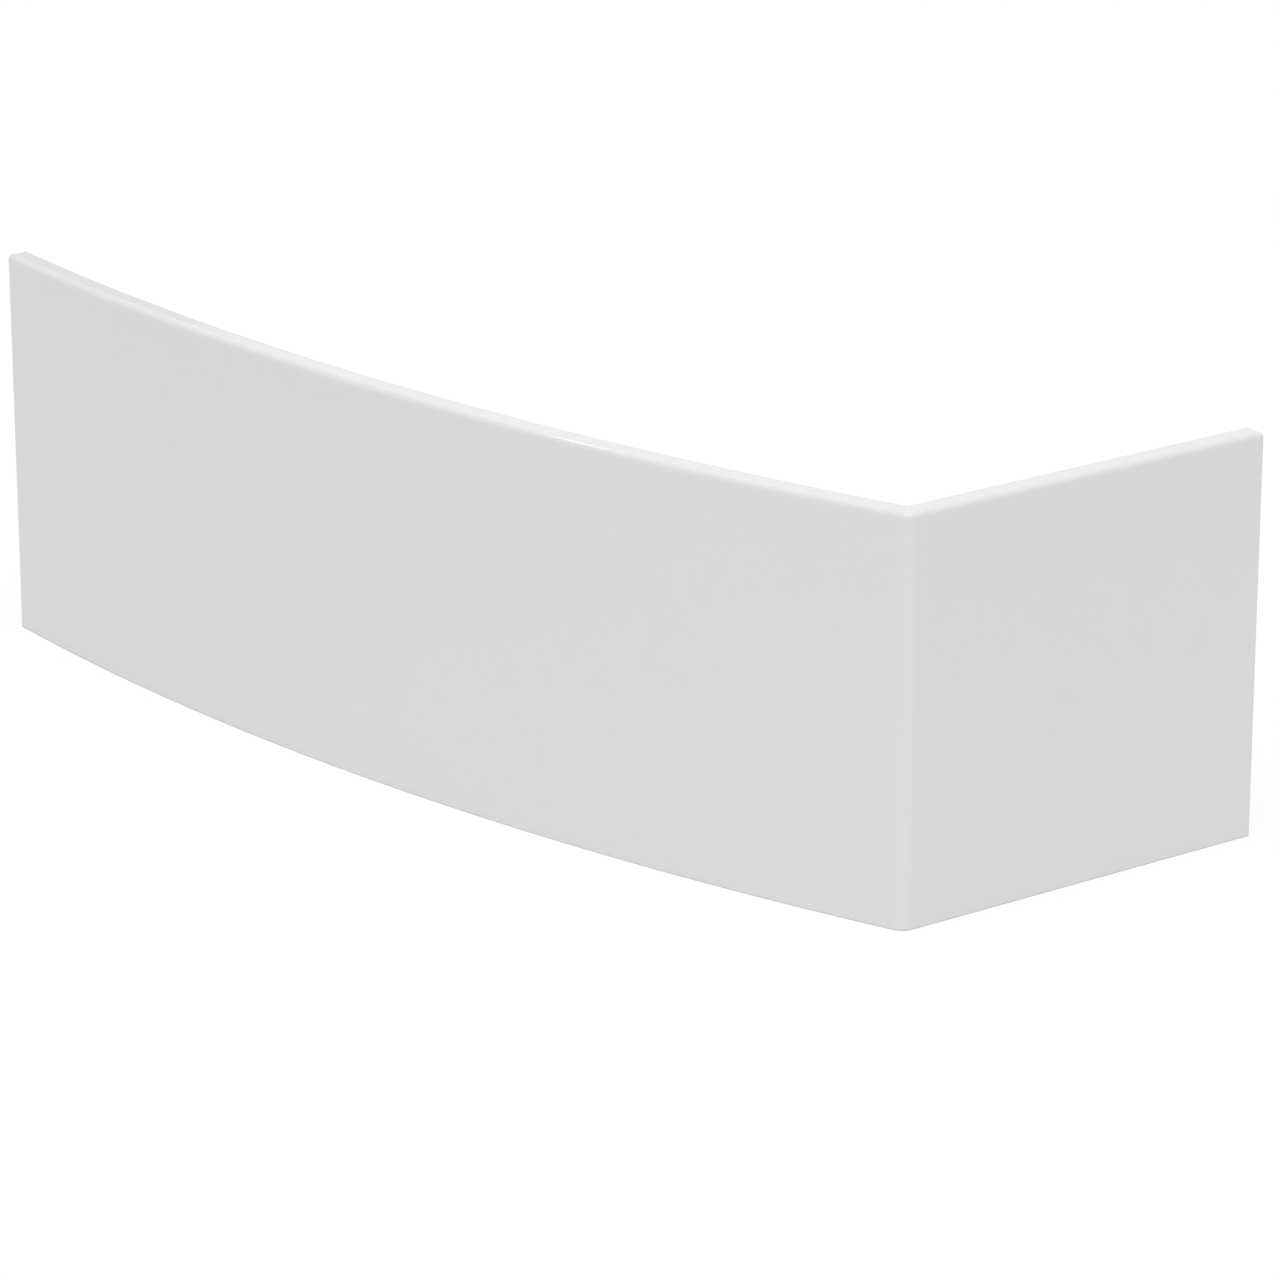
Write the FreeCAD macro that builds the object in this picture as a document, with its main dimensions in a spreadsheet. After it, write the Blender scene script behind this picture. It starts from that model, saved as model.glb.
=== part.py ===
"""Curved bath panel: one moulded acrylic skin that closes the open front and one end of a bath.

In plan it is a long front face on a large arc, a tight rounded corner and a short straight end panel.
The skin turns back along the top as a lip that goes under the bath's rim, and at both ends as a return
that meets the wall. The back and the bottom are open.

Frame: X along the front, from the wide end towards the end panel; Y from the front towards the wall;
Z up. The origin is the middle of the footprint, on the floor.
"""

import FreeCAD, Part
import math
import os

import Sketcher

NODE = "bath_panel"

# Driving dimensions in millimetres. The end length runs from the corner as it would be if it were sharp.
SIZES = {
    "panel_length": 1596,
    "panel_depth": 900,
    "panel_height": 545,
    "end_length": 559,
    "front_radius": 4035,
    "corner_radius": 22,
    "lip_width": 26,
    "wall": 5,
    "top_edge_radius": 8,
    "end_edge_radius": 3,
    "bottom_edge_radius": 1.5,
}

# Two points nearer than this are the same point.
TOUCH = 0.01

# The lines of the plan, in the order in which they are drawn.
FRONT, BEND, END_PANEL, WALL_EDGE, LIP_END, LIP_FRONT, WIDE_EDGE, SHARP_CORNER = range(8)

# The lines of the hollow behind the skin, in the order in which they are drawn.
SKIN_FRONT, SKIN_BEND, SKIN_END, WALL_RETURN, OPEN_BACK, WIDE_RETURN = range(6)

# Names for a sketch line's points, for the sketch's own origin and for the lines it borrows.
START, END, CENTRE = range(1, 4)
ORIGIN = (-1, START)
BORROWED_FRONT, BORROWED_BEND, BORROWED_END_PANEL = range(-3, -6, -1)


def make_sheet(doc):
    """The spreadsheet with the driving dimensions, one named cell for each."""
    sheet = doc.addObject("Spreadsheet::Sheet", "sizes")
    for row, (name, value) in enumerate(SIZES.items(), start=1):
        sheet.set(f"A{row}", name)
        sheet.set(f"B{row}", str(value))
        sheet.setAlias(f"B{row}", name)
    doc.recompute()
    return sheet


def point(x, y):
    """A point on the floor."""
    return FreeCAD.Vector(x, y, 0)


def line(start, end):
    return Part.LineSegment(start, end)


def arc(centre, radius, start, end):
    """A counter-clockwise arc between the directions of two points, seen from its centre."""
    circle = Part.Circle(centre, FreeCAD.Vector(0, 0, 1), radius)
    return Part.ArcOfCircle(circle, circle.parameter(start), circle.parameter(end))


def arc_centre(start, end, radius):
    """Centre of the short counter-clockwise arc from one point to another."""
    chord = end - start
    rise = math.sqrt(radius ** 2 - (chord.Length / 2) ** 2)
    left = point(-chord.y, chord.x).normalize()
    return (start + end) * 0.5 + left * rise


def on_lower_half(centre, radius, x):
    """The point of a circle's lower half at a given X."""
    return point(x, centre.y - math.sqrt(radius ** 2 - (x - centre.x) ** 2))


def floor_sketch(body, name):
    """An empty sketch on the body's floor plane."""
    sketch = body.newObject("Sketcher::SketchObject", name)
    floor = next(plane for plane in body.Origin.OriginFeatures if plane.Role == "XY_Plane")
    sketch.AttachmentSupport = [(floor, "")]
    sketch.MapMode = "FlatFace"
    return sketch


def dimension(sketch, name, formula, kind, *places):
    """Add a dimension to a sketch and drive it from the sheet."""
    start_value = sketch.evalExpression(formula)
    index = sketch.addConstraint(Sketcher.Constraint(kind, *places, start_value))
    sketch.renameConstraint(index, name)
    sketch.setExpression(f"Constraints.{name}", formula)


def draw_plan(body, sheet):
    """Plan of the outer face and of the lip's inner edge."""
    half_length = sheet.panel_length / 2
    half_depth = sheet.panel_depth / 2
    lip = sheet.lip_width
    bend_radius = sheet.corner_radius
    radius = sheet.front_radius

    wide_end = point(-half_length, -half_depth)
    wall_end = point(half_length, half_depth)
    corner = wall_end - point(0, sheet.end_length)
    front_centre = arc_centre(wide_end, corner, radius)
    bend_centre = on_lower_half(front_centre, radius - bend_radius, half_length - bend_radius)
    bend_start = bend_centre + (bend_centre - front_centre).normalize() * bend_radius
    bend_end = bend_centre + point(bend_radius, 0)
    lip_wide_end = on_lower_half(front_centre, radius - lip, -half_length)
    lip_corner = on_lower_half(front_centre, radius - lip, half_length - lip)
    lip_wall_end = wall_end - point(lip, 0)

    plan = floor_sketch(body, "plan")
    plan.addGeometry([
        arc(front_centre, radius, wide_end, bend_start),
        arc(bend_centre, bend_radius, bend_start, bend_end),
        line(bend_end, wall_end),
        line(wall_end, lip_wall_end),
        line(lip_wall_end, lip_corner),
        arc(front_centre, radius - lip, lip_wide_end, lip_corner),
        line(lip_wide_end, wide_end),
    ])
    plan.addGeometry(Part.Point(corner), True)

    rule = Sketcher.Constraint
    plan.addConstraint([
        rule("Tangent", FRONT, END, BEND, START),
        rule("Tangent", BEND, END, END_PANEL, START),
        rule("Coincident", END_PANEL, END, WALL_EDGE, START),
        rule("Coincident", WALL_EDGE, END, LIP_END, START),
        rule("Coincident", LIP_END, END, LIP_FRONT, END),
        rule("Coincident", LIP_FRONT, START, WIDE_EDGE, START),
        rule("Coincident", WIDE_EDGE, END, FRONT, START),
        rule("Coincident", LIP_FRONT, CENTRE, FRONT, CENTRE),
        rule("Vertical", END_PANEL),
        rule("Horizontal", WALL_EDGE),
        rule("Vertical", LIP_END),
        rule("Vertical", WIDE_EDGE),
        rule("PointOnObject", SHARP_CORNER, START, FRONT),
        rule("PointOnObject", SHARP_CORNER, START, END_PANEL),
        rule("Symmetric", FRONT, START, END_PANEL, END, *ORIGIN),
    ])
    dimension(plan, "length", "sizes.panel_length", "DistanceX", FRONT, START, END_PANEL, END)
    dimension(plan, "depth", "sizes.panel_depth", "DistanceY", FRONT, START, END_PANEL, END)
    dimension(plan, "end_run", "sizes.end_length", "DistanceY", SHARP_CORNER, START, END_PANEL, END)
    dimension(plan, "front_arc", "sizes.front_radius", "Radius", FRONT)
    dimension(plan, "corner_arc", "sizes.corner_radius", "Radius", BEND)
    dimension(plan, "lip_run", "sizes.lip_width", "DistanceX", WALL_EDGE, END, WALL_EDGE, START)
    dimension(plan, "lip_arc", "sizes.front_radius - sizes.lip_width", "Radius", LIP_FRONT)
    return plan


def draw_hollow(body, sheet, plan):
    """Plan of the space behind the skin: one wall in from the outer face, and open at the back."""
    wall = sheet.wall
    front, bend, end_panel = (plan.Geometry[index] for index in (FRONT, BEND, END_PANEL))
    return_corner = end_panel.EndPoint - point(wall, wall)
    wide_corner = on_lower_half(front.Center, front.Radius - wall, front.StartPoint.x + wall)
    past_the_lip = 2 * sheet.lip_width
    back_right = return_corner - point(past_the_lip, 0)
    back_left = wide_corner + point(0, past_the_lip)

    hollow = floor_sketch(body, "hollow")
    for index in (FRONT, BEND, END_PANEL):
        hollow.addExternal(plan.Name, f"Edge{index + 1}")
    hollow.addGeometry([
        arc(front.Center, front.Radius - wall, wide_corner, front.EndPoint),
        arc(bend.Center, bend.Radius - wall, bend.StartPoint, bend.EndPoint),
        line(bend.EndPoint - point(wall, 0), return_corner),
        line(return_corner, back_right),
        line(back_right, back_left),
        line(back_left, wide_corner),
    ])

    rule = Sketcher.Constraint
    hollow.addConstraint([
        rule("Coincident", SKIN_FRONT, CENTRE, BORROWED_FRONT, CENTRE),
        rule("Coincident", SKIN_BEND, CENTRE, BORROWED_BEND, CENTRE),
        rule("Tangent", SKIN_FRONT, END, SKIN_BEND, START),
        rule("Tangent", SKIN_BEND, END, SKIN_END, START),
        rule("Coincident", SKIN_END, END, WALL_RETURN, START),
        rule("Coincident", WALL_RETURN, END, OPEN_BACK, START),
        rule("Coincident", OPEN_BACK, END, WIDE_RETURN, START),
        rule("Coincident", WIDE_RETURN, END, SKIN_FRONT, START),
        rule("Vertical", SKIN_END),
        rule("Horizontal", WALL_RETURN),
        rule("Vertical", WIDE_RETURN),
    ])
    wall_return = (WALL_RETURN, END, WALL_RETURN, START)
    wide_return = (WIDE_RETURN, END, WIDE_RETURN, START)
    dimension(hollow, "skin", "sizes.front_radius - sizes.wall", "Radius", SKIN_FRONT)
    dimension(hollow, "wall_gap", "sizes.wall", "DistanceY", SKIN_END, END, BORROWED_END_PANEL, END)
    dimension(hollow, "wide_gap", "sizes.wall", "DistanceX", BORROWED_FRONT, START, WIDE_RETURN, END)
    dimension(hollow, "wall_run_out", "2 * sizes.lip_width", "DistanceX", *wall_return)
    dimension(hollow, "wide_run_out", "2 * sizes.lip_width", "DistanceY", *wide_return)
    return hollow


def middle(edge):
    return edge.valueAt((edge.FirstParameter + edge.LastParameter) / 2)


def is_level(edge, height):
    """Whether an edge lies flat at a height."""
    points = [vertex.Point for vertex in edge.Vertexes] + [middle(edge)]
    return all(abs(place.z - height) < TOUCH for place in points)


def stands_over(edge, place):
    """Whether an edge is upright over a point of the plan."""
    feet = [point(vertex.Point.x, vertex.Point.y) for vertex in edge.Vertexes]
    return all(foot.distanceToPoint(place) < TOUCH for foot in feet)


def lies_over(edge, sketch, *lines):
    """Whether the middle of an edge lies over one of a sketch's lines."""
    spot = Part.Vertex(point(middle(edge).x, middle(edge).y))
    return any(spot.distToShape(sketch.Geometry[index].toShape())[0] < TOUCH for index in lines)


def round_edges(body, base, name, radius, wanted):
    """Round the edges of the base feature that pass a test, with a radius from the sheet."""
    names = [f"Edge{number}" for number, edge in enumerate(base.Shape.Edges, start=1) if wanted(edge)]
    fillet = body.newObject("PartDesign::Fillet", name)
    fillet.Base = (base, names)
    fillet.setExpression("Radius", radius)
    body.Document.recompute()
    return fillet


def make_panel(doc, sheet):
    """The panel as one body: a band with rounded edges, hollowed out to a skin with a lip and two returns."""
    body = doc.addObject("PartDesign::Body", NODE)
    body.Label = NODE
    plan = draw_plan(body, sheet)
    doc.recompute()

    band = body.newObject("PartDesign::Pad", "band")
    band.Profile = plan
    band.setExpression("Length", "sizes.panel_height")
    doc.recompute()

    top = sheet.panel_height
    under_lip = top - sheet.wall
    wide_end = plan.Geometry[FRONT].StartPoint
    wall_end = plan.Geometry[END_PANEL].EndPoint

    def is_outer(edge):
        return not lies_over(edge, plan, LIP_END, LIP_FRONT)

    def is_end_edge(edge):
        return stands_over(edge, wide_end) or stands_over(edge, wall_end)

    def is_top_edge(edge):
        return is_level(edge, top) and is_outer(edge)

    def is_bottom_edge(edge):
        return is_level(edge, 0) and is_outer(edge)

    ends = round_edges(body, band, "end_edges", "sizes.end_edge_radius", is_end_edge)
    crown = round_edges(body, ends, "top_edge", "sizes.top_edge_radius", is_top_edge)
    foot = round_edges(body, crown, "bottom_edge", "sizes.bottom_edge_radius", is_bottom_edge)

    hollow = draw_hollow(body, sheet, plan)
    doc.recompute()
    skin = body.newObject("PartDesign::Pocket", "skin")
    skin.Profile = hollow
    skin.Reversed = True
    skin.setExpression("Length", "sizes.panel_height - sizes.wall")
    doc.recompute()
    if skin.Shape.Volume > foot.Shape.Volume / 2:
        raise RuntimeError("the hollow cut too little away")

    def is_inside_bend(edge):
        return is_level(edge, under_lip) and is_outer(edge)

    round_edges(body, skin, "inside_bends", "sizes.top_edge_radius - sizes.wall", is_inside_bend)
    return body


def check(doc, body):
    """Stop if any feature failed or the panel is not one sound solid."""
    for feature in doc.Objects:
        if "Invalid" in feature.State or "Error" in feature.State:
            raise RuntimeError(f"{feature.Name} failed: {feature.State}")
    shape = body.Shape
    if shape.isNull() or not shape.isValid() or len(shape.Solids) != 1:
        raise RuntimeError(f"{body.Label} is not one sound solid")


def main():
    doc = FreeCAD.newDocument(NODE)
    sheet = make_sheet(doc)
    body = make_panel(doc, sheet)
    check(doc, body)
    os.makedirs("parts", exist_ok=True)
    body.Shape.exportStep(f"parts/{body.Label}.step")


main()
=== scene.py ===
"""Looks of the curved bath panel: one moulded skin of gloss white acrylic on a pale studio floor.

Geometry Nodes lay the skin out by a rule. A section through the wall and its lip is carried along the
panel's outline, once for the outer face and once for the inner face, and rims close the free edges.
Lengths are in metres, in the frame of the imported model.
"""

import math

import bpy
from mathutils import Euler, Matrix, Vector


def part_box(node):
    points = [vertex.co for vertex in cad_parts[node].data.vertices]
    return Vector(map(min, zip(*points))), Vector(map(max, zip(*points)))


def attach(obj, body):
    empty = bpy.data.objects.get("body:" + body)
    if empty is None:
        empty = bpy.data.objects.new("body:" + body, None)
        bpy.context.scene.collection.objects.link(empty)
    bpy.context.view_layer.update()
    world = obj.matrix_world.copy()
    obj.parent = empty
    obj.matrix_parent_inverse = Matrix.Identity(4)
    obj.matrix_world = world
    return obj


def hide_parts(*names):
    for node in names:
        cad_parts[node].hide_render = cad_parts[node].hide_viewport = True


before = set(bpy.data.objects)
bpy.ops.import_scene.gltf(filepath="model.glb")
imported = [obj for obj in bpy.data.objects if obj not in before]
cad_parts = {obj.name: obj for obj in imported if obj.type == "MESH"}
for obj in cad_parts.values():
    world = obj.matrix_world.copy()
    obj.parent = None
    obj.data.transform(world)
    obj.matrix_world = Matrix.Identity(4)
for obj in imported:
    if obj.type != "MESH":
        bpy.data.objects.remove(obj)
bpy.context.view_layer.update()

QUARTER_TURN = math.pi / 2
HALF_TURN = math.pi

# Sizes of the moulding. Its length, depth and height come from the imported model.
FRONT_RADIUS = 4.035
CORNER_RADIUS = 0.022
END_LENGTH = 0.559
LIP_WIDTH = 0.026
WALL = 0.005
TOP_EDGE = 0.008
END_EDGE = 0.003
BOTTOM_EDGE = 0.0015

# Light rounding of the cut edges, where the skin turns by more than the sharp angle.
TRIMMED_EDGE = 0.0006
TRIMMED_EDGE_STEPS = 3
SHARP_ANGLE = math.radians(45)

# Steps of the mesh along each stretch of the outline and of the section.
RETURN_STEPS = 4
END_CORNER_STEPS = 6
FRONT_STEPS = 96
BEND_STEPS = 18
END_PANEL_STEPS = 28
FOOT_STEPS = 4
UPRIGHT_STEPS = 28
TOP_EDGE_STEPS = 12
LIP_STEPS = 6
STATIONS = 2 * RETURN_STEPS + 2 * END_CORNER_STEPS + FRONT_STEPS + BEND_STEPS + END_PANEL_STEPS + 1
LEVELS = FOOT_STEPS + UPRIGHT_STEPS + TOP_EDGE_STEPS + LIP_STEPS + 1

# Points of the mesh nearer than this are one point.
WELD = 0.00001

# Finish of the acrylic. A scale is in patches to the metre, and a depth is in metres.
ACRYLIC_IOR = 1.49
WHITE_TINTS = ((0.797, 0.797, 0.795, 1), (0.803, 0.803, 0.802, 1))
TINT_ENDS = (0.3, 0.7)
TINT_SCALE = 1.4
GLOSS_ROUGHNESS = 0.03
UNEVEN_ROUGHNESS = 0.06
UNEVEN_SCALE = 9
SATIN_ROUGHNESS = 0.35
WAVE_SCALE = 7
WAVE_DEPTH = 0.0008
PEEL_SCALE = 160
PEEL_DEPTH = 0.000024
FINE_DETAIL = 2

# The camera's place from the panel's corner on the floor, as if that were sharp, and how it is turned.
CAMERA_STAND_OFF = Vector((5.4992, -4.2473, 2.9102))
CAMERA_TURN = Euler((math.radians(70), 0, math.radians(55)))
FIELD_OF_VIEW = math.radians(12)

# The studio, where a brightness of 1 is white. A direction is an azimuth, counted from the panel's front
# towards its end panel, and an elevation, both in degrees.
WHITE = (1, 1, 1, 1)
FLOOR_REACH = 40
PAPER_GLOW = 0.65
# Reach of the painted shade line at the panel's foot, where ambient occlusion dims the paper's glow.
CONTACT_SHADOW = 0.0008
CONTACT_SHADOW_RAYS = 4
CEILING_LIGHT = 1.28

# The strip that gloss surfaces mirror darker lies between two angles from the middle of the backdrop.
BACKDROP_DIRECTION = (131, 32)
STRIP_NEAR_EDGE = math.radians(95.6)
STRIP_FAR_EDGE = math.radians(119)
STRIP_TONE = 0.5

# Lamps. The softbox is aimed at a place on the front's rounded top edge.
BROAD_LAMP_SPREAD = math.radians(50)
BROAD_LAMPS = {
    "key": {"direction": (60, 60), "brightness": 0.34},
    "fill": {"direction": (20, 60), "brightness": 0.1},
}
SOFTBOX_DIRECTION = (301, 53.4)
SOFTBOX_AIM = Vector((0.25, -0.3, 0.54))
SOFTBOX_DISTANCE = 4
SOFTBOX_WIDTH = 0.12
SOFTBOX_HEIGHT = 0.22
SOFTBOX_GLOW = 48


class Quantity:
    """A number in a node tree. Plain arithmetic on it adds the Math nodes."""

    def __init__(self, tree, socket):
        self.tree = tree
        self.socket = socket

    def __add__(self, other):
        return maths("ADD", self, other)

    def __radd__(self, other):
        return maths("ADD", other, self)

    def __sub__(self, other):
        return maths("SUBTRACT", self, other)

    def __rsub__(self, other):
        return maths("SUBTRACT", other, self)

    def __mul__(self, other):
        return maths("MULTIPLY", self, other)

    def __rmul__(self, other):
        return maths("MULTIPLY", other, self)

    def __truediv__(self, other):
        return maths("DIVIDE", self, other)


def plug(tree, value, socket):
    """Give a socket a quantity or a plain number."""
    if isinstance(value, Quantity):
        tree.links.new(value.socket, socket)
    else:
        socket.default_value = value


def maths(operation, *values):
    """A Math node on quantities and plain numbers, of which at least one is a quantity."""
    tree = next(value.tree for value in values if isinstance(value, Quantity))
    node = tree.nodes.new("ShaderNodeMath")
    node.operation = operation
    for value, socket in zip(values, node.inputs):
        plug(tree, value, socket)
    return Quantity(tree, node.outputs["Value"])


def root(value):
    """Square root of a quantity."""
    return maths("SQRT", value)


def cosine(angle):
    """Cosine of a quantity or a plain number."""
    return maths("COSINE", angle) if isinstance(angle, Quantity) else math.cos(angle)


def sine(angle):
    """Sine of a quantity or a plain number."""
    return maths("SINE", angle) if isinstance(angle, Quantity) else math.sin(angle)


class Walk:
    """A flat line of straight and round stretches, followed as far as a counter of steps says."""

    def __init__(self, counter, x, y):
        self.counter = counter
        self.x = x
        self.y = y
        self.steps = 0

    def share(self, steps, spacing):
        """How much of the next stretch the counter has passed, from 0 to 1."""
        tree = self.counter.tree
        node = tree.nodes.new("ShaderNodeMapRange")
        node.interpolation_type = spacing
        plug(tree, self.counter, node.inputs["Value"])
        node.inputs["From Min"].default_value = self.steps
        node.inputs["From Max"].default_value = self.steps + steps
        self.steps += steps
        return Quantity(tree, node.outputs["Result"])

    def straight(self, steps, run, rise):
        """A straight stretch, with shorter steps towards its ends so that its shading stays flat."""
        share = self.share(steps, "SMOOTHSTEP")
        self.x = self.x + run * share
        self.y = self.y + rise * share

    def turn(self, steps, radius, start, end, spacing="LINEAR"):
        """A round stretch between two directions seen from its centre."""
        angle = start + (end - start) * self.share(steps, spacing)
        self.x = self.x + radius * (cosine(angle) - cosine(start))
        self.y = self.y + radius * (sine(angle) - sine(start))


def section_walk(size, level, inside):
    """Depth behind the outer face and height over the floor, up the wall and back along the lip."""
    skin = size["Wall"] * inside
    foot = size["Bottom edge"] * (1 - inside)
    top_edge = size["Top edge"]
    walk = Walk(level, foot + skin, 0)
    walk.turn(FOOT_STEPS, foot, -QUARTER_TURN, -HALF_TURN)
    walk.straight(UPRIGHT_STEPS, 0, size["Height"] - top_edge - foot)
    walk.turn(TOP_EDGE_STEPS, top_edge - skin, HALF_TURN, QUARTER_TURN)
    walk.straight(LIP_STEPS, size["Lip width"] - top_edge, 0)
    return walk


def front_centre(size):
    """Centre of the front's arc, from the wide end and the end panel's corner, both on it."""
    chord_y = size["Depth"] - size["End length"]
    chord = root(size["Length"] * size["Length"] + chord_y * chord_y)
    rise = root(size["Front radius"] * size["Front radius"] - chord * chord / 4)
    x = 0 - chord_y / chord * rise
    y = size["End length"] / -2 + size["Length"] / chord * rise
    return x, y


def outline_walk(size, station, inset):
    """Place on the floor along the panel's outline, a given depth behind its outer face."""
    left = size["Length"] / -2
    right = size["Length"] / 2
    back = size["Depth"] / 2
    radius = size["Front radius"]
    centre_x, centre_y = front_centre(size)

    def front_y(x, depth):
        reach = radius - depth
        aside = x - centre_x
        return centre_y - root(reach * reach - aside * aside)

    end_depth = maths("MAXIMUM", inset, size["End edge"])
    bend_depth = maths("MAXIMUM", inset, size["Corner radius"])
    wide_x = left + end_depth
    wide_y = front_y(wide_x, end_depth)
    bend_x = right - bend_depth
    bend_y = front_y(bend_x, bend_depth)
    wide_angle = maths("ARCTAN2", wide_y - centre_y, wide_x - centre_x)
    bend_angle = maths("ARCTAN2", bend_y - centre_y, bend_x - centre_x)

    free_edge_y = front_y(left + inset, size["Lip width"])
    walk = Walk(station, left + inset, free_edge_y)
    walk.straight(RETURN_STEPS, 0, wide_y - free_edge_y)
    walk.turn(END_CORNER_STEPS, end_depth - inset, -HALF_TURN, wide_angle)
    walk.turn(FRONT_STEPS, radius - inset, wide_angle, bend_angle, "SMOOTHSTEP")
    walk.turn(BEND_STEPS, bend_depth - inset, bend_angle, 0)
    walk.straight(END_PANEL_STEPS, 0, back - end_depth - bend_y)
    walk.turn(END_CORNER_STEPS, end_depth - inset, 0, QUARTER_TURN)
    walk.straight(RETURN_STEPS, end_depth - size["Lip width"], 0)
    return walk


def stored(tree, geometry, name, kind, domain, value):
    """Keep a value on the mesh under a name."""
    node = tree.nodes.new("GeometryNodeStoreNamedAttribute")
    node.data_type = kind
    node.domain = domain
    node.inputs["Name"].default_value = name
    tree.links.new(geometry, node.inputs["Geometry"])
    plug(tree, value, node.inputs["Value"])
    return node.outputs["Geometry"]


def named(tree, name, kind="FLOAT"):
    """Read a value that is kept on the mesh."""
    node = tree.nodes.new("GeometryNodeInputNamedAttribute")
    node.data_type = kind
    node.inputs["Name"].default_value = name
    return Quantity(tree, node.outputs["Attribute"])


def without(tree, geometry, name):
    """Take a value off the mesh that was only needed for its layout."""
    node = tree.nodes.new("GeometryNodeRemoveAttribute")
    node.inputs["Name"].default_value = name
    tree.links.new(geometry, node.inputs["Geometry"])
    return node.outputs["Geometry"]


def flat_sheet(tree, rows, columns, places, flipped=False, rim=False):
    """A grid whose points know their station, their level and whether they are inside the skin."""
    grid = tree.nodes.new("GeometryNodeMeshGrid")
    grid.inputs["Vertices X"].default_value = rows
    grid.inputs["Vertices Y"].default_value = columns
    index = Quantity(tree, tree.nodes.new("GeometryNodeInputIndex").outputs["Index"])
    clear_of_rounding = 0.5
    row = maths("FLOOR", (index + clear_of_rounding) / columns)
    column = index - row * columns
    geometry = grid.outputs["Mesh"]
    for name, value in places(row, column).items():
        geometry = stored(tree, geometry, name, "FLOAT", "POINT", value)
    geometry = stored(tree, geometry, "rim", "BOOLEAN", "FACE", rim)
    if flipped:
        flip = tree.nodes.new("GeometryNodeFlipFaces")
        tree.links.new(geometry, flip.inputs["Mesh"])
        geometry = flip.outputs["Mesh"]
    return geometry


def skin_sheets(tree):
    """The outer face, the inner face and the four rims between them, still flat."""
    first = 0
    last_station = STATIONS - 1
    last_level = LEVELS - 1
    outer = 0
    inner = 1
    wall_points = 2

    def face(inside):
        return lambda row, column: {"station": row, "level": column, "inside": inside}

    def long_rim(level):
        return lambda row, column: {"station": row, "level": level, "inside": column}

    def end_rim(station):
        return lambda row, column: {"station": station, "level": column, "inside": row}

    return [
        flat_sheet(tree, STATIONS, LEVELS, face(outer)),
        flat_sheet(tree, STATIONS, LEVELS, face(inner), flipped=True),
        flat_sheet(tree, STATIONS, wall_points, long_rim(first), flipped=True, rim=True),
        flat_sheet(tree, STATIONS, wall_points, long_rim(last_level), rim=True),
        flat_sheet(tree, wall_points, LEVELS, end_rim(first), flipped=True, rim=True),
        flat_sheet(tree, wall_points, LEVELS, end_rim(last_station), rim=True),
    ]


def skin_tree(size_names, finish):
    """The node tree that lays out the panel's skin from its sizes."""
    tree = bpy.data.node_groups.new("bath_panel_skin", "GeometryNodeTree")
    tree.interface.new_socket("Skin", in_out="OUTPUT", socket_type="NodeSocketGeometry")
    for name in size_names:
        tree.interface.new_socket(name, in_out="INPUT", socket_type="NodeSocketFloat")
    given = tree.nodes.new("NodeGroupInput")
    size = {name: Quantity(tree, given.outputs[name]) for name in size_names}

    sheets = tree.nodes.new("GeometryNodeJoinGeometry")
    for sheet in skin_sheets(tree):
        tree.links.new(sheet, sheets.inputs["Geometry"])

    section = section_walk(size, named(tree, "level"), named(tree, "inside"))
    outline = outline_walk(size, named(tree, "station"), section.x)
    place = tree.nodes.new("ShaderNodeCombineXYZ")
    plug(tree, outline.x, place.inputs["X"])
    plug(tree, outline.y, place.inputs["Y"])
    plug(tree, section.y, place.inputs["Z"])

    lay_out = tree.nodes.new("GeometryNodeSetPosition")
    weld = tree.nodes.new("GeometryNodeMergeByDistance")
    weld.inputs["Distance"].default_value = WELD
    tree.links.new(sheets.outputs["Geometry"], lay_out.inputs["Geometry"])
    tree.links.new(place.outputs["Vector"], lay_out.inputs["Position"])
    tree.links.new(lay_out.outputs["Geometry"], weld.inputs["Geometry"])

    angle = tree.nodes.new("GeometryNodeInputMeshEdgeAngle")
    is_sharp = maths("GREATER_THAN", Quantity(tree, angle.outputs["Unsigned Angle"]), SHARP_ANGLE)
    trimmed = is_sharp * named(tree, "rim", "BOOLEAN")
    geometry = stored(tree, weld.outputs["Geometry"], "bevel_weight_edge", "FLOAT", "EDGE", trimmed)
    for name in ("station", "level"):
        geometry = without(tree, geometry, name)

    smooth = tree.nodes.new("GeometryNodeSetShadeSmooth")
    realize = tree.nodes.new("GeometryNodeRealizeInstances")
    coat = tree.nodes.new("GeometryNodeSetMaterial")
    coat.inputs["Material"].default_value = finish
    result = tree.nodes.new("NodeGroupOutput")
    tree.links.new(geometry, smooth.inputs["Geometry"])
    tree.links.new(smooth.outputs["Geometry"], realize.inputs["Geometry"])
    tree.links.new(realize.outputs["Geometry"], coat.inputs["Geometry"])
    tree.links.new(coat.outputs["Geometry"], result.inputs["Skin"])
    return tree


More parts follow.
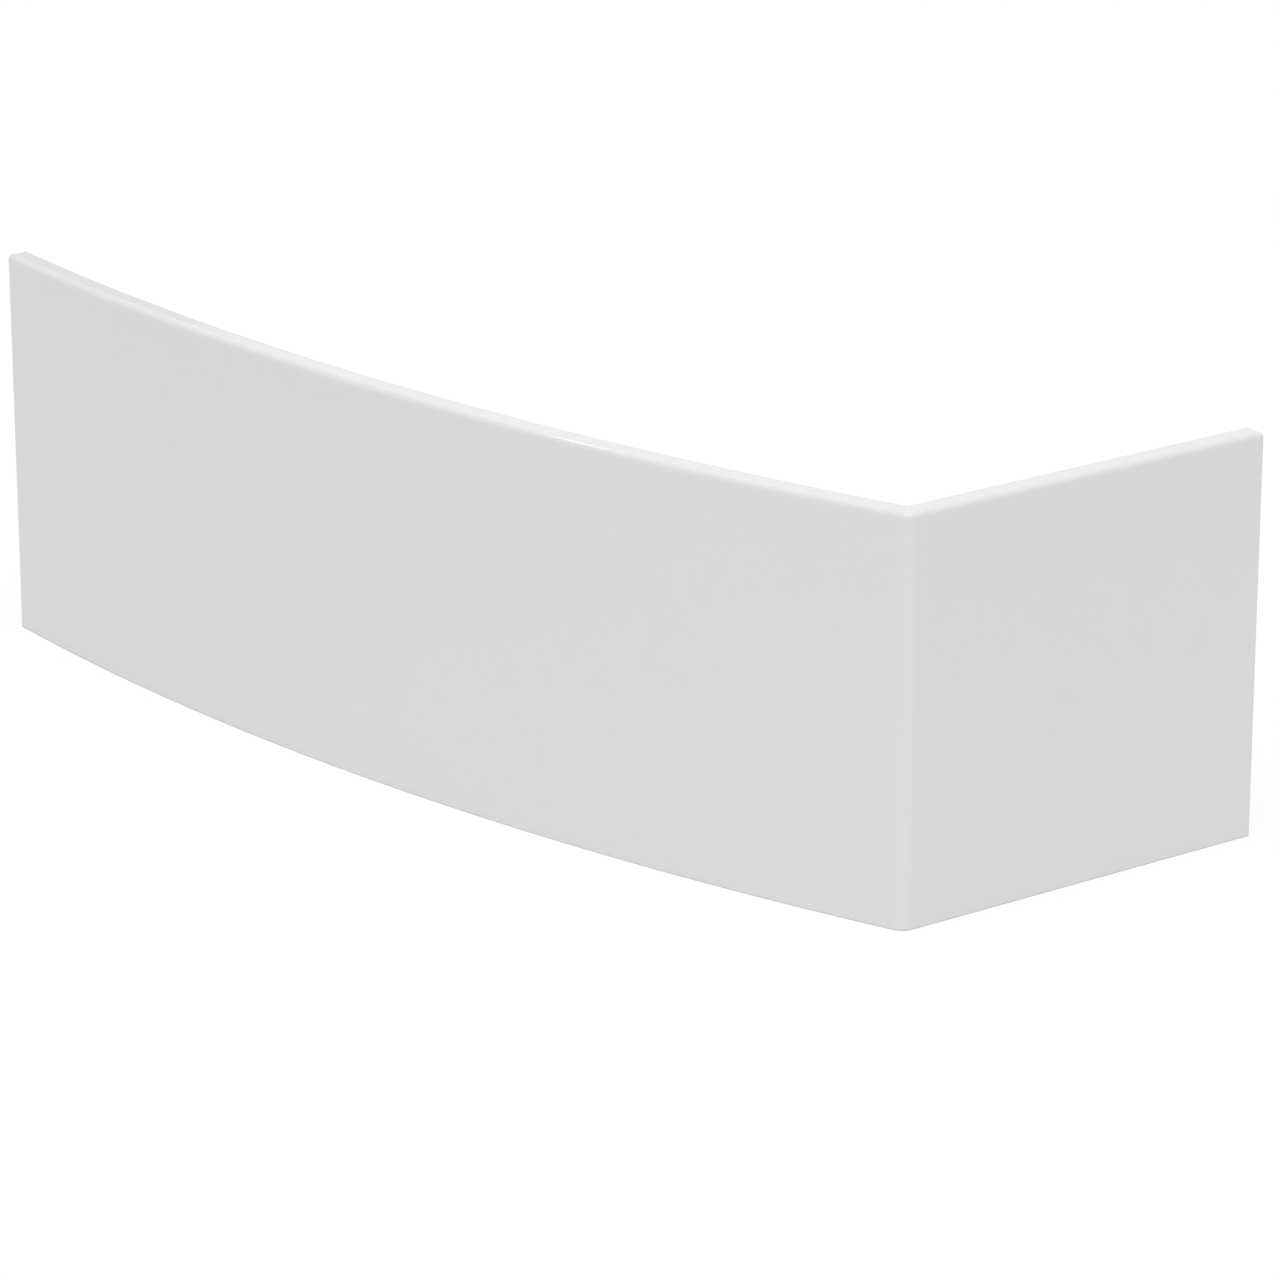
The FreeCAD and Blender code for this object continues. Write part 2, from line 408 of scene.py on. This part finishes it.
def make_skin(finish):
    """The panel's skin as a plain mesh, with its free edges lightly rounded."""
    # The depth is taken from the flat back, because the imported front's facets stop just short of its arc.
    lowest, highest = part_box("bath_panel")
    sizes = {
        "Length": highest.x - lowest.x,
        "Depth": 2 * highest.y,
        "Height": highest.z,
        "End length": END_LENGTH,
        "Front radius": FRONT_RADIUS,
        "Corner radius": CORNER_RADIUS,
        "Lip width": LIP_WIDTH,
        "Wall": WALL,
        "Top edge": TOP_EDGE,
        "End edge": END_EDGE,
        "Bottom edge": BOTTOM_EDGE,
    }
    tree = skin_tree(sizes, finish)
    draft = bpy.data.meshes.new("bath_panel_draft")
    panel = bpy.data.objects.new("bath_panel_skin", draft)
    bpy.context.scene.collection.objects.link(panel)
    layout = panel.modifiers.new("layout", "NODES")
    layout.node_group = tree
    for socket in tree.interface.items_tree:
        if socket.in_out == "INPUT":
            layout[socket.identifier] = sizes[socket.name]
    trim = panel.modifiers.new("trimmed_edges", "BEVEL")
    trim.limit_method = "WEIGHT"
    trim.width = TRIMMED_EDGE
    trim.segments = TRIMMED_EDGE_STEPS

    depsgraph = bpy.context.evaluated_depsgraph_get()
    mesh = bpy.data.meshes.new_from_object(panel.evaluated_get(depsgraph), depsgraph=depsgraph)
    mesh.name = "bath_panel_skin"
    mesh.materials.clear()
    mesh.materials.append(finish)
    mesh.attributes.remove(mesh.attributes["bevel_weight_edge"])
    mesh.set_sharp_from_angle(angle=SHARP_ANGLE)
    panel.modifiers.clear()
    panel.data = mesh
    bpy.data.meshes.remove(draft)
    return panel


def noise(tree, where, scale, detail=0):
    """Soft noise around one half, through the material."""
    node = tree.nodes.new("ShaderNodeTexNoise")
    node.inputs["Scale"].default_value = scale
    node.inputs["Detail"].default_value = detail
    tree.links.new(where, node.inputs["Vector"])
    return Quantity(tree, node.outputs["Fac"])


def bumps(tree, height, depth, below=None):
    """Normals of a surface with small bumps of the given depth, over other bumps if there are any."""
    node = tree.nodes.new("ShaderNodeBump")
    node.inputs["Distance"].default_value = depth
    plug(tree, height, node.inputs["Height"])
    if below:
        tree.links.new(below, node.inputs["Normal"])
    return node.outputs["Normal"]


def on_mesh(tree, name):
    """A value that is kept on the mesh, as a material reads it."""
    node = tree.nodes.new("ShaderNodeAttribute")
    node.attribute_name = name
    return Quantity(tree, node.outputs["Fac"])


def white_acrylic():
    """Gloss white acrylic, a little wavy as drawn sheet is, with a satin back and satin cut edges."""
    finish = bpy.data.materials.new("gloss_white_acrylic")
    finish.use_nodes = True
    tree = finish.node_tree
    shader = tree.nodes["Principled BSDF"]
    shader.inputs["IOR"].default_value = ACRYLIC_IOR
    where = tree.nodes.new("ShaderNodeTexCoord").outputs["Object"]

    tint = tree.nodes.new("ShaderNodeValToRGB")
    for stop, position, white in zip(tint.color_ramp.elements, TINT_ENDS, WHITE_TINTS):
        stop.position = position
        stop.color = white
    plug(tree, noise(tree, where, TINT_SCALE), tint.inputs["Fac"])
    tree.links.new(tint.outputs["Color"], shader.inputs["Base Color"])

    satin = maths("MAXIMUM", on_mesh(tree, "inside"), on_mesh(tree, "rim"))
    gloss = GLOSS_ROUGHNESS + UNEVEN_ROUGHNESS * noise(tree, where, UNEVEN_SCALE, FINE_DETAIL)
    plug(tree, gloss + SATIN_ROUGHNESS * satin, shader.inputs["Roughness"])

    waves = bumps(tree, noise(tree, where, WAVE_SCALE), WAVE_DEPTH)
    peel = bumps(tree, noise(tree, where, PEEL_SCALE, FINE_DETAIL), PEEL_DEPTH, waves)
    tree.links.new(peel, shader.inputs["Normal"])
    return finish


def make_camera():
    """The camera where the picture was taken from."""
    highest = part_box("bath_panel")[1]
    corner = Vector((highest.x, highest.y - END_LENGTH, 0))
    lens = bpy.data.cameras.new("camera")
    lens.angle = FIELD_OF_VIEW
    camera = bpy.data.objects.new("camera", lens)
    camera.location = corner + CAMERA_STAND_OFF
    camera.rotation_euler = CAMERA_TURN
    bpy.context.scene.collection.objects.link(camera)
    bpy.context.scene.camera = camera


def white_paper():
    """Pale floor paper on a light table: white, with a soft shadow, and painted shade in a thin dark line
    where things stand on it.
    """
    paper = bpy.data.materials.new("white_paper")
    paper.use_nodes = True
    tree = paper.node_tree
    tree.nodes.remove(tree.nodes["Principled BSDF"])
    # Painted shade: ambient occlusion dims the paper's glow close to the panel's foot, drawing a thin dark
    # line there.
    painted_contact_shade = tree.nodes.new("ShaderNodeAmbientOcclusion")
    painted_contact_shade.samples = CONTACT_SHADOW_RAYS
    painted_contact_shade.inputs["Distance"].default_value = CONTACT_SHADOW
    lit = tree.nodes.new("ShaderNodeBsdfDiffuse")
    lit.inputs["Color"].default_value = WHITE
    glow = tree.nodes.new("ShaderNodeEmission")
    glow.inputs["Color"].default_value = WHITE
    mix = tree.nodes.new("ShaderNodeMixShader")
    mix.inputs["Fac"].default_value = PAPER_GLOW
    tree.links.new(painted_contact_shade.outputs["AO"], glow.inputs["Strength"])
    tree.links.new(lit.outputs["BSDF"], mix.inputs[1])
    tree.links.new(glow.outputs["Emission"], mix.inputs[2])
    tree.links.new(mix.outputs["Shader"], tree.nodes["Material Output"].inputs["Surface"])
    return paper


def make_floor():
    """A wide level floor."""
    corners = [(-FLOOR_REACH, -FLOOR_REACH, 0), (FLOOR_REACH, -FLOOR_REACH, 0),
               (FLOOR_REACH, FLOOR_REACH, 0), (-FLOOR_REACH, FLOOR_REACH, 0)]
    mesh = bpy.data.meshes.new("floor")
    mesh.from_pydata(corners, [], [(0, 1, 2, 3)])
    mesh.materials.append(white_paper())
    floor = bpy.data.objects.new("floor", mesh)
    bpy.context.scene.collection.objects.link(floor)


def towards(azimuth, elevation):
    """Unit direction, with the azimuth counted from the panel's front towards its end panel."""
    turn = math.radians(azimuth)
    rise = math.radians(elevation)
    return Vector((math.sin(turn) * math.cos(rise), -math.cos(turn) * math.cos(rise), math.sin(rise)))


def light_room():
    """Soft light from above. Gloss surfaces mirror a white room with a darker strip beside its backdrop."""
    world = bpy.data.worlds.new("room")
    bpy.context.scene.world = world
    world.use_nodes = True
    tree = world.node_tree
    where = tree.nodes.new("ShaderNodeTexCoord").outputs["Generated"]
    split = tree.nodes.new("ShaderNodeSeparateXYZ")
    tree.links.new(where, split.inputs["Vector"])
    height = maths("MAXIMUM", Quantity(tree, split.outputs["Z"]), 0)
    soft_light = CEILING_LIGHT * (height * height)

    facing = tree.nodes.new("ShaderNodeVectorMath")
    facing.operation = "DOT_PRODUCT"
    tree.links.new(where, facing.inputs[0])
    facing.inputs[1].default_value = towards(*BACKDROP_DIRECTION)
    near_edge = math.cos(STRIP_NEAR_EDGE)
    far_edge = math.cos(STRIP_FAR_EDGE)
    middle = (near_edge + far_edge) / 2
    reach = (near_edge - far_edge) / 2
    strip = maths("COMPARE", Quantity(tree, facing.outputs["Value"]), middle, reach)

    path = tree.nodes.new("ShaderNodeLightPath")
    camera, glossy, through = [Quantity(tree, path.outputs[f"Is {kind} Ray"])
                               for kind in ("Camera", "Glossy", "Transmission")]
    seen = maths("MINIMUM", camera + glossy + through, 1)
    white = 1 - (1 - STRIP_TONE) * glossy * strip
    strength = soft_light + (white - soft_light) * seen
    plug(tree, strength, tree.nodes["Background"].inputs["Strength"])
    tree.nodes["Background"].inputs["Color"].default_value = WHITE


def broad_lamp(name, direction, brightness):
    """Broad soft lamp, far enough away to light the whole panel alike."""
    lamp = bpy.data.lights.new(name, "SUN")
    lamp.energy = brightness * math.pi
    lamp.angle = BROAD_LAMP_SPREAD
    holder = bpy.data.objects.new(name, lamp)
    holder.rotation_euler = towards(*direction).to_track_quat("Z", "Y").to_euler()
    bpy.context.scene.collection.objects.link(holder)


def softbox():
    """Narrow softbox, mirrored as a short glint in the rounded top of the front."""
    lamp = bpy.data.lights.new("softbox", "AREA")
    lamp.shape = "RECTANGLE"
    lamp.size = SOFTBOX_WIDTH
    lamp.size_y = SOFTBOX_HEIGHT
    lamp.energy = SOFTBOX_GLOW * math.pi * SOFTBOX_WIDTH * SOFTBOX_HEIGHT
    box = bpy.data.objects.new("softbox", lamp)
    direction = towards(*SOFTBOX_DIRECTION)
    box.location = SOFTBOX_AIM + SOFTBOX_DISTANCE * direction
    box.rotation_euler = direction.to_track_quat("Z", "Y").to_euler()
    bpy.context.scene.collection.objects.link(box)


def main():
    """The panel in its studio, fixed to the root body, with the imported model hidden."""
    bpy.context.scene.view_settings.view_transform = "Standard"
    panel = make_skin(white_acrylic())
    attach(panel, "root")
    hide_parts("bath_panel")
    make_floor()
    light_room()
    for name, lamp in BROAD_LAMPS.items():
        broad_lamp(name, **lamp)
    softbox()
    make_camera()


main()
